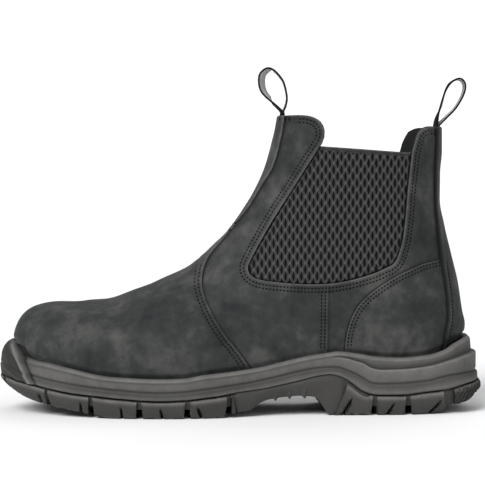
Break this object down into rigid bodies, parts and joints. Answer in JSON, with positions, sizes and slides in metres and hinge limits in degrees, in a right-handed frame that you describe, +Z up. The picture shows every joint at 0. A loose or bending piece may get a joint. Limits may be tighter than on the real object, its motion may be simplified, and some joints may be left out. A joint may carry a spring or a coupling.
{
  "type": "pull-on safety boot",
  "caption": "Left pull-on safety boot: hollow leather upper with elastic side gores and webbing pull loops on a moulded two-part sole with a toe bumper and a stepped heel.",
  "frame": {"origin": "on the ground under the middle of the boot's bounding box", "axes": "+X from toe to heel, +Y towards the inner side of the foot, +Z up"},
  "size_m": [0.31, 0.1072, 0.2193],
  "materials": {
    "rubber": "matte",
    "leather": "matte",
    "elastic": "matte",
    "webbing": "matte",
    "footbed": "matte"
  },
  "bodies": {
    "root": {"outsole": "rubber", "midsole": "rubber", "insole": "footbed", "upper": "leather", "vamp": "leather", "back_strip": "leather", "counter_outer": "leather", "counter_inner": "leather", "gore_outer": "elastic", "gore_inner": "elastic", "front_loop": "webbing", "rear_loop": "webbing"}
  },
  "joints": []
}
